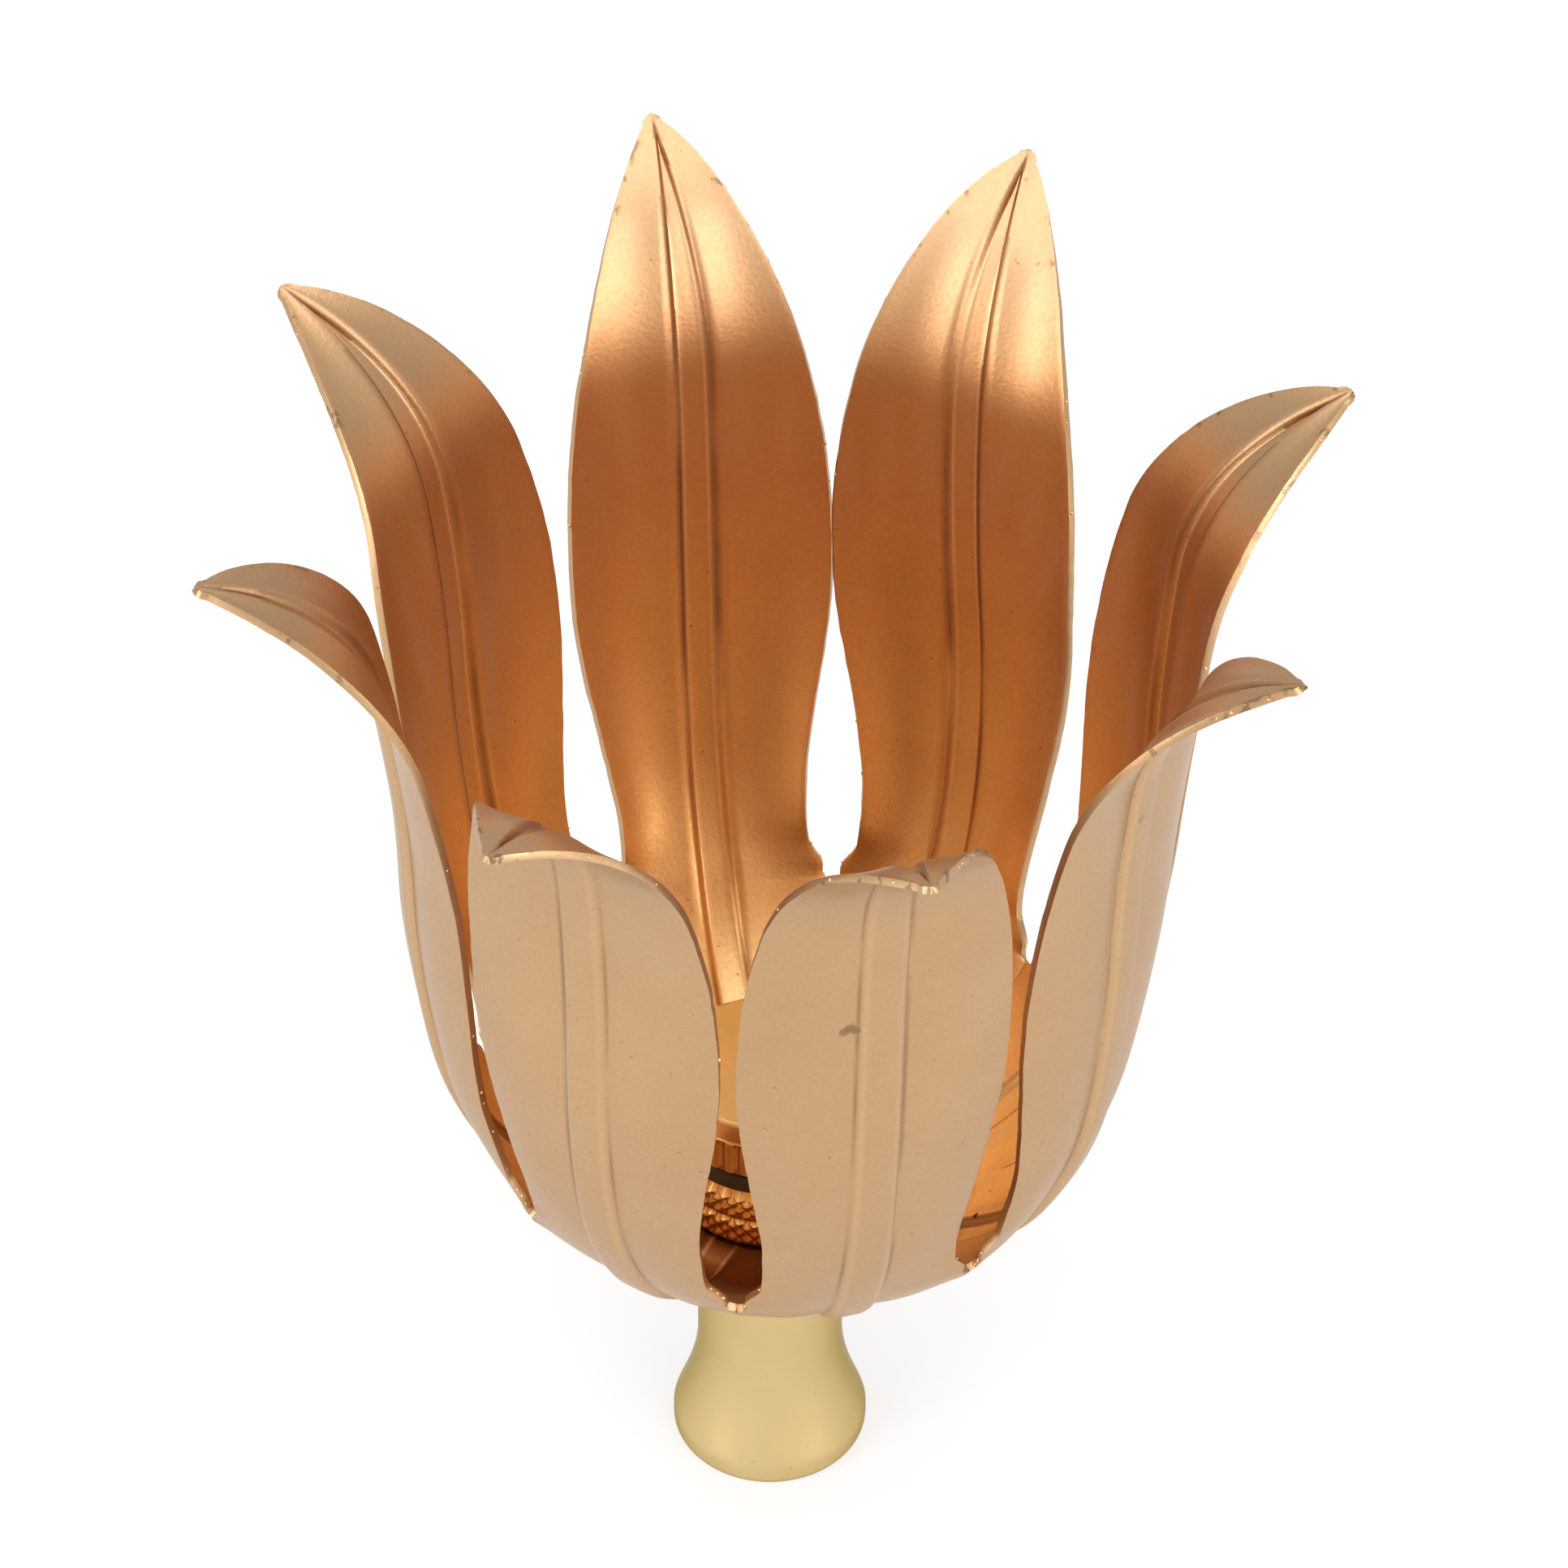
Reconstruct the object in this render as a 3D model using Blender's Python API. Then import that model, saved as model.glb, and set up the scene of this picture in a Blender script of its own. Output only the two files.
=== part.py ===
"""Leaf-cup lamp finial: a pressed sheet cup of eight leaves on a turned brass neck.

The neck stands on the ground at the origin, +Z up. Its spigot passes through the floor of the cup,
and a knurled collar, a washer and a reeded cap nut are stacked on the spigot inside the cup.
"""
import math

import bmesh
import bpy
from mathutils import Vector

MM = 0.001
MERGE_DISTANCE = 0.001 * MM

# Fits between pieces
TOUCH_GAP = 0.3 * MM
BORE_CLEARANCE = 0.3 * MM

# Turned neck
NECK_HEIGHT = 27.8 * MM
SPIGOT_RADIUS = 4.75 * MM
SHOULDER_WIDTH = 1.35 * MM
WAIST_DIP = 0.15 * MM
NECK_WALL = 1.15 * MM
NECK_BORE_DEPTH = 16.0 * MM
FOOT_FLARE = 2.05 * MM
FOOT_BAND = 2.0 * MM
FOOT_LIP = 1.0 * MM
FLARE_RUN = 9.8 * MM
FLARE_SPREAD = 0.62

# Knurled collar
COLLAR_RADIUS = 8.4 * MM
COLLAR_HEIGHT = 5.9 * MM
COLLAR_GROOVE = 1.0 * MM
COLLAR_BEVEL = 0.8 * MM
KNURL_TEETH = 36
KNURL_DEPTH = 0.4 * MM

# Washer, a little smaller than the collar that it lies on
WASHER_STEP = 0.1 * MM
WASHER_HEIGHT = 1.8 * MM

# Reeded cap nut
CAP_RADIUS = 8.7 * MM
CAP_HEIGHT = 4.8 * MM
CAP_CHAMFER = 1.2 * MM
CAP_ROOF = 1.6 * MM
REEDS = 36
REED_DEPTH = 0.35 * MM

# Pressed leaf cup: runs along the sheet from the flat floor to a leaf's tip, and the slope it has
# reached, in degrees from level, at the end of each run
SHEET = 0.6 * MM
FLOOR_ROOM = 0.3 * MM
HEEL_RUN = 6.0 * MM
BOWL_SLOPE = 33.9
BOWL_RUN = 12.1 * MM
NOTCH_SLOPE = 61.0
SHOULDER_RUN = 13.4 * MM
SHOULDER_SLOPE = 79.8
WALL_RUN = 18.1 * MM
WALL_SLOPE = 85.9
BEND_RUN = 18.6 * MM
BEND_SLOPE = 78.5
CURL_RUN = 22.5 * MM
TIP_SLOPE = 12.5

# How far the cup sits off the neck's axis, because its hole was punched off centre, and which way
OFF_CENTRE = 1.3 * MM
OFF_CENTRE_ANGLE = 26.0

# Outline of one leaf, measured up the sheet from the slot between two leaves
SLOT_WIDTH = 1.5 * MM
SLOT_DEPTH = 1.4 * MM
LEAF_WAIST_HALF = 7.9 * MM
LEAF_WAIST_RUN = 3.7 * MM
LEAF_BELLY_HALF = 10.9 * MM
LEAF_BELLY_RUN = 31.3 * MM
TAPER_POWER = 2.3
TAPER_FULLNESS = 0.84
TIP_HALF_WIDTH = 0.8 * MM

# Pressed forms across a leaf: a raised rib, how far its edges bow inward, on the lower leaf and at the
# tip, for a leaf as wide as its belly, and how far the sheet flares outward beside the foot of a slot
RIB_HALF_WIDTH = 1.75 * MM
RIB_WIDEST_SHARE = 0.5
RIB_CREST_SHARE = 0.65
RIB_RISE = 0.6 * MM
RIB_START_RUN = 2.2 * MM
RIB_FADE_RUN = 4.0 * MM
LOWER_BOW = 1.45 * MM
LOWER_BOW_RUN = 5.0 * MM
TIP_BOW = -1.57 * MM
BOW_STEP = 0.05 * MM
SLOT_FLARE = 0.8 * MM
FLARE_RUN_BELOW = 8.0 * MM
FLARE_RUN_ABOVE = 4.5 * MM
FLARE_POWER = 4

# How each leaf was bent by hand: leaning out from its slot, extra slope at the tip, sideways drift of
# the tip and twist about its own centre line, in degrees, and extra bow of its edges, in bow steps.
# The lean comes in over the first share of the leaf, and the drift grows with a power of the run
LEAN_SHARE = 0.5
DRIFT_POWER = 1.5
FIRST_LEAF_ANGLE = 13.7
LEAF_BENDS = (
    (2.8, 6.1, -1.7, 6.4, -2),
    (7.5, -9.1, 5.8, 9.8, 12),
    (4.1, 3.3, 0.8, -5.7, -4),
    (2.7, 3.5, 2.6, -6.5, -6),
    (2.7, -0.7, 1.8, -0.3, -7),
    (3.5, -4.0, 3.3, -1.8, -20),
    (0.5, 6.0, -0.5, 1.6, 1),
    (2.6, 4.3, -0.6, -2.2, -6),
)

# Fineness of the meshes
ROUND_SIDES = 32
FLARE_STEPS = 6
LIP_STEPS = 2
STEPS_ALONG_LEAF = 400
SLOT_ROWS = 2
WALL_ROWS = 5
BEND_ROWS = 3
CURL_ROWS = 7

# Heights and radii worked out from the sizes above
NECK_TOP_RADIUS = SPIGOT_RADIUS + SHOULDER_WIDTH
WAIST_RADIUS = NECK_TOP_RADIUS - WAIST_DIP
NECK_BORE_RADIUS = WAIST_RADIUS - NECK_WALL
FOOT_RADIUS = WAIST_RADIUS + FOOT_FLARE
STACK_BORE_RADIUS = SPIGOT_RADIUS + BORE_CLEARANCE
WASHER_RADIUS = COLLAR_RADIUS - WASHER_STEP
SHEET_MIDDLE = NECK_HEIGHT + TOUCH_GAP + SHEET / 2
COLLAR_BASE = SHEET_MIDDLE + SHEET / 2 + TOUCH_GAP
WASHER_BASE = COLLAR_BASE + COLLAR_HEIGHT + TOUCH_GAP
CAP_BASE = WASHER_BASE + WASHER_HEIGHT + TOUCH_GAP
SPIGOT_TOP = CAP_BASE + CAP_HEIGHT - CAP_ROOF - TOUCH_GAP
FLOOR_FLAT_RADIUS = COLLAR_RADIUS + OFF_CENTRE + FLOOR_ROOM
OFF_CENTRE_TURN = math.radians(OFF_CENTRE_ANGLE)
LEAVES = len(LEAF_BENDS)


def ease(x):
    """Smooth step from 0 to 1."""
    x = min(max(x, 0.0), 1.0)
    return x * x * (3 - 2 * x)


def read_off(x, points):
    """Value at x on the broken line through points, level beyond both ends."""
    for (x0, y0), (x1, y1) in zip(points, points[1:]):
        if x <= x1:
            return y0 + (y1 - y0) * max(x - x0, 0.0) / (x1 - x0)
    return points[-1][1]


def metal(name, colour, roughness):
    """Metal with one colour and roughness."""
    material = bpy.data.materials.new(name)
    material.use_nodes = True
    shader = material.node_tree.nodes["Principled BSDF"]
    shader.inputs["Base Color"].default_value = (*colour, 1.0)
    shader.inputs["Metallic"].default_value = 1.0
    shader.inputs["Roughness"].default_value = roughness
    return material


def add_object(name, bm, material, sharp_angle=35.0):
    """Object from a bmesh, shaded smooth except across sharp edges."""
    bmesh.ops.remove_doubles(bm, verts=bm.verts, dist=MERGE_DISTANCE)
    bmesh.ops.recalc_face_normals(bm, faces=bm.faces)
    mesh = bpy.data.meshes.new(name)
    bm.to_mesh(mesh)
    bm.free()
    mesh.shade_smooth()
    mesh.set_sharp_from_angle(angle=math.radians(sharp_angle))
    mesh.materials.append(material)
    obj = bpy.data.objects.new(name, mesh)
    bpy.context.scene.collection.objects.link(obj)
    return obj


def lathe(profile, sides, tooth_depth=None):
    """Turn a profile of (radius, height) about Z. tooth_depth gives, for each profile point, how far
    every second step round is cut in, which makes teeth."""
    bm = bmesh.new()
    rings = []
    for index, (radius, height) in enumerate(profile):
        ring = []
        for side in range(sides):
            cut = tooth_depth[index] if tooth_depth and side % 2 else 0.0
            angle = 2 * math.pi * side / sides
            reach = radius - cut
            ring.append(bm.verts.new((reach * math.cos(angle), reach * math.sin(angle), height)))
        rings.append(ring)
    for lower, upper in zip(rings, rings[1:]):
        for side in range(sides):
            after = (side + 1) % sides
            bm.faces.new((lower[side], lower[after], upper[after], upper[side]))
    return bm


def arc(centre, radius, start, end, steps):
    """Points of an arc in the (radius, height) plane, angles in degrees."""
    points = []
    for step in range(steps + 1):
        angle = math.radians(start + (end - start) * step / steps)
        points.append((centre[0] + radius * math.cos(angle), centre[1] + radius * math.sin(angle)))
    return points


def turned_neck():
    """Neck turned in one with its spigot: foot ring, flare, waist, shoulder, and a bore from below."""
    waist_height = FOOT_BAND + FLARE_RUN
    profile = [(0.0, NECK_BORE_DEPTH), (NECK_BORE_RADIUS, NECK_BORE_DEPTH), (NECK_BORE_RADIUS, 0.0)]
    profile += arc((FOOT_RADIUS - FOOT_LIP, FOOT_LIP), FOOT_LIP, -90.0, 0.0, LIP_STEPS)
    for step in range(FLARE_STEPS + 1):
        share = step / FLARE_STEPS
        radius = FOOT_RADIUS + (WAIST_RADIUS - FOOT_RADIUS) * ease(share**FLARE_SPREAD)
        profile.append((radius, FOOT_BAND + FLARE_RUN * share))
    profile.append((WAIST_RADIUS, (waist_height + NECK_HEIGHT) / 2))
    profile.append((NECK_TOP_RADIUS, NECK_HEIGHT))
    profile.append((SPIGOT_RADIUS, NECK_HEIGHT))
    profile.append((SPIGOT_RADIUS, SPIGOT_TOP))
    profile.append((0.0, SPIGOT_TOP))
    return add_object("neck", lathe(profile, ROUND_SIDES), metal("neck_brass", (0.72, 0.58, 0.36), 0.3))


def knurled_collar():
    """Knurled collar with two bands of teeth and a groove between them."""
    half = COLLAR_HEIGHT / 2
    tooth_root = COLLAR_RADIUS - KNURL_DEPTH
    profile = [
        (STACK_BORE_RADIUS, COLLAR_HEIGHT),
        (STACK_BORE_RADIUS, 0.0),
        (tooth_root, 0.0),
        (COLLAR_RADIUS, COLLAR_BEVEL),
        (COLLAR_RADIUS, half - COLLAR_GROOVE / 2),
        (tooth_root, half),
        (COLLAR_RADIUS, half + COLLAR_GROOVE / 2),
        (COLLAR_RADIUS, COLLAR_HEIGHT - COLLAR_BEVEL),
        (tooth_root, COLLAR_HEIGHT),
        (STACK_BORE_RADIUS, COLLAR_HEIGHT),
    ]
    on_teeth = [KNURL_DEPTH if radius == COLLAR_RADIUS else 0.0 for radius, height in profile]
    placed = [(radius, COLLAR_BASE + height) for radius, height in profile]
    bm = lathe(placed, 2 * KNURL_TEETH, on_teeth)
    return add_object("knurled_collar", bm, metal("collar_brass", (0.70, 0.50, 0.24), 0.3))


def washer():
    """Plain flat washer between the collar and the cap nut."""
    profile = [
        (STACK_BORE_RADIUS, WASHER_BASE + WASHER_HEIGHT),
        (STACK_BORE_RADIUS, WASHER_BASE),
        (WASHER_RADIUS, WASHER_BASE),
        (WASHER_RADIUS, WASHER_BASE + WASHER_HEIGHT),
        (STACK_BORE_RADIUS, WASHER_BASE + WASHER_HEIGHT),
    ]
    return add_object("washer", lathe(profile, ROUND_SIDES), metal("washer_black", (0.03, 0.03, 0.03), 0.6))


def reeded_cap_nut():
    """Cap nut with a reeded wall, a flat chamfered top and a blind bore."""
    roof = CAP_BASE + CAP_HEIGHT - CAP_ROOF
    shoulder = CAP_BASE + CAP_HEIGHT - CAP_CHAMFER
    profile = [
        (0.0, roof),
        (STACK_BORE_RADIUS, roof),
        (STACK_BORE_RADIUS, CAP_BASE),
        (CAP_RADIUS, CAP_BASE),
        (CAP_RADIUS, shoulder - REED_DEPTH),
        (CAP_RADIUS, shoulder),
        (CAP_RADIUS - CAP_CHAMFER, CAP_BASE + CAP_HEIGHT),
        (0.0, CAP_BASE + CAP_HEIGHT),
    ]
    on_teeth = [0.0, 0.0, 0.0, REED_DEPTH, REED_DEPTH, 0.0, 0.0, 0.0]
    bm = lathe(profile, 2 * REEDS, on_teeth)
    return add_object("reeded_nut", bm, metal("nut_brass", (0.74, 0.58, 0.27), 0.3))


def slope_stations():
    """Distance along the sheet, from the axis, and the slope there, where the bend of a leaf changes."""
    runs = (HEEL_RUN, BOWL_RUN, SHOULDER_RUN, WALL_RUN, BEND_RUN, CURL_RUN)
    slopes = (BOWL_SLOPE, NOTCH_SLOPE, SHOULDER_SLOPE, WALL_SLOPE, BEND_SLOPE, TIP_SLOPE)
    stations = [(0.0, 0.0), (FLOOR_FLAT_RADIUS, 0.0)]
    for run, slope in zip(runs, slopes):
        stations.append((stations[-1][0] + run, slope))
    return stations


STATIONS = slope_stations()
HEEL_END = STATIONS[2][0]
NOTCH = STATIONS[3][0]
WALL_END = STATIONS[5][0]
BEND_END = STATIONS[6][0]
LEAF_END = STATIONS[-1][0]


def centre_line(lean, curl):
    """Centre line of a leaf from the axis to the tip: (distance, radius, height, slope in radians)."""
    step = LEAF_END / STEPS_ALONG_LEAF
    radius, height = 0.0, 0.0
    line = []
    for index in range(STEPS_ALONG_LEAF + 1):
        along = index * step
        slope = read_off(along, STATIONS)
        slope += lean * ease((along - NOTCH) / (LEAF_END - NOTCH) / LEAN_SHARE)
        slope += curl * max(along - WALL_END, 0.0) / (LEAF_END - WALL_END)
        line.append((along, radius, height, math.radians(slope)))
        radius += step * math.cos(math.radians(slope))
        height += step * math.sin(math.radians(slope))
    return line


def at_distance(line, along):
    """Radius, height and slope on a centre line at a distance along it."""
    place = min(along / LEAF_END, 1.0) * STEPS_ALONG_LEAF
    index = min(int(place), STEPS_ALONG_LEAF - 1)
    share = place - index
    return [a + (b - a) * share for a, b in zip(line[index][1:], line[index + 1][1:])]


def half_width(along, radius):
    """Half the width of a leaf, or of its share of the bowl below the slots."""
    sector = math.pi * radius / LEAVES
    up = along - NOTCH
    if up <= 0:
        return sector - SLOT_WIDTH / 2
    if up <= LEAF_WAIST_RUN:
        share = max(up - SLOT_DEPTH, 0.0) / (LEAF_WAIST_RUN - SLOT_DEPTH)
        opening = math.sin(math.pi / 2 * share)
        return sector - SLOT_WIDTH / 2 - (sector - LEAF_WAIST_HALF - SLOT_WIDTH / 2) * opening
    if up <= LEAF_BELLY_RUN:
        share = (up - LEAF_WAIST_RUN) / (LEAF_BELLY_RUN - LEAF_WAIST_RUN)
        return LEAF_WAIST_HALF + (LEAF_BELLY_HALF - LEAF_WAIST_HALF) * ease(share)
    share = (up - LEAF_BELLY_RUN) / (LEAF_END - NOTCH - LEAF_BELLY_RUN)
    return max(LEAF_BELLY_HALF * (1 - share**TAPER_POWER) ** TAPER_FULLNESS, TIP_HALF_WIDTH)


def edge_bow(along, extra):
    """How far the edges of a belly-wide leaf bow inward at a distance along the sheet."""
    lower = (NOTCH + LOWER_BOW_RUN, LOWER_BOW + extra)
    return read_off(along, ((NOTCH, 0.0), lower, (LEAF_END, TIP_BOW + extra)))


def rib_rise(along):
    """How far the rib stands out of a leaf at a distance along the sheet."""
    start = (along - FLOOR_FLAT_RADIUS) / RIB_START_RUN
    end = (LEAF_END - along) / RIB_FADE_RUN
    return RIB_RISE * ease(start) * ease(end)


def slot_flare(along, share):
    """How far the sheet flares outward beside the foot of a slot, at a share of the way to its edge."""
    stops = ((NOTCH - FLARE_RUN_BELOW, 0.0), (NOTCH, SLOT_FLARE), (NOTCH + FLARE_RUN_ABOVE, 0.0))
    return read_off(along, stops) * share**FLARE_POWER


def leaf_point(leaf, line, along, across, lift):
    """Point of a leaf's middle surface: across is the distance from its centre line, and lift how far
    the point stands outward of the plain surface."""
    lean, curl, drift, twist, bow = LEAF_BENDS[leaf]
    radius, height, slope = at_distance(line, along)
    up_leaf = max(along - NOTCH, 0.0) / (LEAF_END - NOTCH)
    inward = edge_bow(along, bow * BOW_STEP) * (across / LEAF_BELLY_HALF) ** 2 - lift
    inward += math.tan(math.radians(twist)) * across * up_leaf
    turn = FIRST_LEAF_ANGLE + 360.0 * leaf / LEAVES + drift * up_leaf**DRIFT_POWER
    angle = math.radians(turn) + across / radius
    reach = radius - math.sin(slope) * inward
    shift = OFF_CENTRE * ease((along - STACK_BORE_RADIUS) / (FLOOR_FLAT_RADIUS - STACK_BORE_RADIUS))
    x = shift * math.cos(OFF_CENTRE_TURN) + reach * math.cos(angle)
    y = shift * math.sin(OFF_CENTRE_TURN) + reach * math.sin(angle)
    return Vector((x, y, SHEET_MIDDLE + height + math.cos(slope) * inward))


def rows_along():
    """Distances along the sheet of the mesh rows: below the slots, and up the leaf."""
    bowl = [STACK_BORE_RADIUS, FLOOR_FLAT_RADIUS, FLOOR_FLAT_RADIUS + HEEL_RUN / 2, HEEL_END]
    bowl += [HEEL_END + BOWL_RUN / 2, NOTCH]
    slot_end = NOTCH + SLOT_DEPTH
    leaf = [slot_end]
    for start, end, count in (
        (slot_end, NOTCH + LEAF_WAIST_RUN, SLOT_ROWS),
        (NOTCH + LEAF_WAIST_RUN, WALL_END, WALL_ROWS),
        (WALL_END, BEND_END, BEND_ROWS),
        (BEND_END, LEAF_END, CURL_ROWS),
    ):
        leaf += [start + (end - start) * step / count for step in range(1, count + 1)]
    return bowl, leaf


def leaf_cup():
    """The cup, pressed from one sheet: flat floor with a hole, bowl, and leaves with slots between."""
    bm = bmesh.new()
    bowl, leaf_rows = rows_along()
    columns = []
    for leaf in range(LEAVES):
        line = centre_line(LEAF_BENDS[leaf][0], LEAF_BENDS[leaf][1])
        rows = []
        for along in bowl + leaf_rows:
            half = half_width(along, at_distance(line, along)[0])
            rib = min(RIB_HALF_WIDTH, half * RIB_WIDEST_SHARE)
            crest = rib * RIB_CREST_SHARE
            middle = (half + rib) / 2
            rise = rib_rise(along)
            places = [(-half, slot_flare(along, 1.0)), (-middle, slot_flare(along, middle / half))]
            places += [(-rib, 0.0), (-crest, rise)]
            places += [(-across, lift) for across, lift in reversed(places)]
            rows.append([bm.verts.new(leaf_point(leaf, line, along, *place)) for place in places])
        columns.append(rows)
    for leaf in range(LEAVES):
        here = columns[leaf]
        beyond = columns[(leaf + 1) % LEAVES]
        for row in range(len(here) - 1):
            for a, b in zip(range(len(here[row]) - 1), range(1, len(here[row]))):
                bm.faces.new((here[row][a], here[row + 1][a], here[row + 1][b], here[row][b]))
            if row < len(bowl) - 1:
                bm.faces.new((here[row][-1], here[row + 1][-1], beyond[row + 1][0], beyond[row][0]))
    obj = add_object("leaf_cup", bm, metal("cup_rose_gold", (0.80, 0.50, 0.32), 0.35))
    wall = obj.modifiers.new("sheet", "SOLIDIFY")
    wall.thickness = SHEET
    wall.offset = 0.0
    return obj


def clear_scene():
    """Remove whatever the scene holds."""
    for obj in list(bpy.data.objects):
        bpy.data.objects.remove(obj)


clear_scene()
turned_neck()
leaf_cup()
knurled_collar()
washer()
reeded_cap_nut()
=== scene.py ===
import math
import random

import bmesh
import bpy
from mathutils import Matrix, Vector, noise


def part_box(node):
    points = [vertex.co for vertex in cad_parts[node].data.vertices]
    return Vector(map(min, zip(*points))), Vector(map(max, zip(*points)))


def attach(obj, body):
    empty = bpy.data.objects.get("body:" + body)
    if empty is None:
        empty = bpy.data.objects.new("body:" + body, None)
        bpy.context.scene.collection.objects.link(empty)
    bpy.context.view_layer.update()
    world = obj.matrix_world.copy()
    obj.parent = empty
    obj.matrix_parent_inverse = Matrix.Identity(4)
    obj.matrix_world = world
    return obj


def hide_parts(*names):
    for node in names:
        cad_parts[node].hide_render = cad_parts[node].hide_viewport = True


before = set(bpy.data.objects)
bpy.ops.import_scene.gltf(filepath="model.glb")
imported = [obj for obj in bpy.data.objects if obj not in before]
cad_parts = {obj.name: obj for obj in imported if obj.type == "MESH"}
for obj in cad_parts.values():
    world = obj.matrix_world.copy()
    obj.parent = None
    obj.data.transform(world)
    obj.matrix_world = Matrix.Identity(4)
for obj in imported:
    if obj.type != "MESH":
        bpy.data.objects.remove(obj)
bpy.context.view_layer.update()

MM = 0.001


# Neck: one brass turning with a flared foot, a waist, a shoulder under the cup, a spigot that the
# nuts turn on, and a bore from below for the lamp's rod. Turned, polished and clear lacquered.
FOOT_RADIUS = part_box("neck")[1][0]
SPIGOT_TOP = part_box("neck")[1][2]
NECK_HEIGHT = 27.8 * MM
SPIGOT_RADIUS = 4.75 * MM
SHOULDER_RADIUS = 6.1 * MM
WAIST_RADIUS = 5.95 * MM
BORE_RADIUS = 4.8 * MM
BORE_DEPTH = 16.0 * MM
FOOT_LIP = 1.0 * MM
FOOT_BAND = 2.0 * MM
FLARE_RUN = 9.8 * MM
FLARE_SPREAD = 0.62
FLARE_STEPS = 40
WAIST_STEPS = 12
NECK_CHAMFER = 0.25 * MM
LIP_STEPS = 10
NECK_TURN_STEPS = 160
MERGE_DISTANCE = 0.002 * MM
NECK_LIGHT = (0.70, 0.530, 0.270)
NECK_DARK = (0.65, 0.480, 0.225)
NECK_RINGS = (0.60, 0.43, 0.18)
# Painted shade towards the neck's outline
NECK_OUTLINE_SHADE = (0.38, 0.27, 0.12)
NECK_SPECKS = (0.45, 0.33, 0.14)
NECK_TINT = (0.62, 0.58, 0.42, 1.0)


def ease(x):
    """Smooth step from 0 to 1."""
    x = min(max(x, 0.0), 1.0)
    return x * x * (3 - 2 * x)


def arc(centre, radius, start, end, steps):
    """Points of an arc in the plane of radius and height, angles in degrees."""
    turns = [math.radians(start + (end - start) * step / steps) for step in range(steps + 1)]
    return [(centre[0] + radius * math.cos(turn), centre[1] + radius * math.sin(turn)) for turn in turns]


def turned(profile, steps):
    """A profile of (radius, height) spun about the axis."""
    bm = bmesh.new()
    verts = [bm.verts.new((radius, 0.0, height)) for radius, height in profile]
    edges = [bm.edges.new(pair) for pair in zip(verts, verts[1:])]
    bmesh.ops.spin(bm, geom=verts + edges, cent=(0, 0, 0), axis=(0, 0, 1), dvec=(0, 0, 0),
                   angle=2 * math.pi, steps=steps, use_merge=True, use_normal_flip=False, use_duplicate=False)
    bmesh.ops.remove_doubles(bm, verts=bm.verts, dist=MERGE_DISTANCE)
    bmesh.ops.recalc_face_normals(bm, faces=bm.faces)
    return bm


def make_piece(name, bm, material, nodes=(), sharp_angle=40.0):
    """Object from a bmesh, with its finish, that rides on the one body and stands for its nodes.

    Edges sharper than the angle in degrees stay sharp, and the rest are shaded smooth.
    """
    mesh = bpy.data.meshes.new(name)
    bm.to_mesh(mesh)
    bm.free()
    mesh.shade_smooth()
    mesh.set_sharp_from_angle(angle=math.radians(sharp_angle))
    mesh.materials.append(material)
    piece = bpy.data.objects.new(name, mesh)
    bpy.context.scene.collection.objects.link(piece)
    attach(piece, "root")
    if nodes:
        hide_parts(*nodes)
    return piece


class Value:
    """A socket of a finish. Arithmetic on it adds the Math nodes."""

    def __init__(self, finish, socket):
        self.finish = finish
        self.socket = socket

    def math(self, operation, *others):
        sockets = dict(enumerate((self,) + others))
        return self.finish.node("ShaderNodeMath", {"operation": operation}, sockets)

    def __add__(self, other):
        return self.math("ADD", other)

    def __sub__(self, other):
        return self.math("SUBTRACT", other)

    def __mul__(self, other):
        return self.math("MULTIPLY", other)

    def __rsub__(self, other):
        return (self * -1.0).math("ADD", other)

    __radd__ = __add__
    __rmul__ = __mul__


class Finish:
    """A material with a Principled shader, whose patterns lie on Object coordinates."""

    def __init__(self, name, roughness, metallic=1.0):
        self.material = bpy.data.materials.new(name)
        self.material.use_nodes = True
        self.tree = self.material.node_tree
        self.shader = self.tree.nodes["Principled BSDF"]
        self.shader.inputs["Roughness"].default_value = roughness
        self.shader.inputs["Metallic"].default_value = metallic
        self.place = self.node("ShaderNodeTexCoord", {}, {}, "Object")

    def node(self, kind, settings, sockets, output=0):
        """Any node: its settings first, then the values or links of its sockets."""
        node = self.tree.nodes.new(kind)
        for name, value in settings.items():
            setattr(node, name, value)
        for name, value in sockets.items():
            if isinstance(value, Value):
                self.tree.links.new(value.socket, node.inputs[name])
            else:
                node.inputs[name].default_value = value
        return Value(self, node.outputs[output])

    def feed(self, name, value):
        """Link a value that varies over the surface to the shader."""
        self.tree.links.new(value.socket, self.shader.inputs[name])

    def speckle(self, size, detail=3.0, place=None):
        """Cloudy pattern with spots of about a size in metres."""
        sockets = {"Vector": place or self.place, "Scale": 1.0 / size, "Detail": detail}
        return self.node("ShaderNodeTexNoise", {}, sockets, "Fac")

    def stretched(self, scale):
        """Object coordinates stretched by a scale for each axis."""
        return self.node("ShaderNodeMapping", {}, {"Vector": self.place, "Scale": scale})

    def between(self, value, low, high):
        """Value spread so that low becomes 0 and high becomes 1."""
        sockets = {"Value": value, "From Min": low, "From Max": high}
        return self.node("ShaderNodeMapRange", {"clamp": True}, sockets)

    def blend(self, share, first, second):
        """Colour between two colours."""
        first = first if isinstance(first, Value) else (*first, 1.0)
        second = second if isinstance(second, Value) else (*second, 1.0)
        return self.node("ShaderNodeMix", {"data_type": "RGBA"}, {0: share, 6: first, 7: second}, 2)

    def bump(self, height, depth):
        """Bump from a height of 0 to 1 that stands for a depth in metres."""
        sockets = {"Height": height, "Distance": depth, "Strength": 1.0}
        self.feed("Normal", self.node("ShaderNodeBump", {}, sockets))


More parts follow.
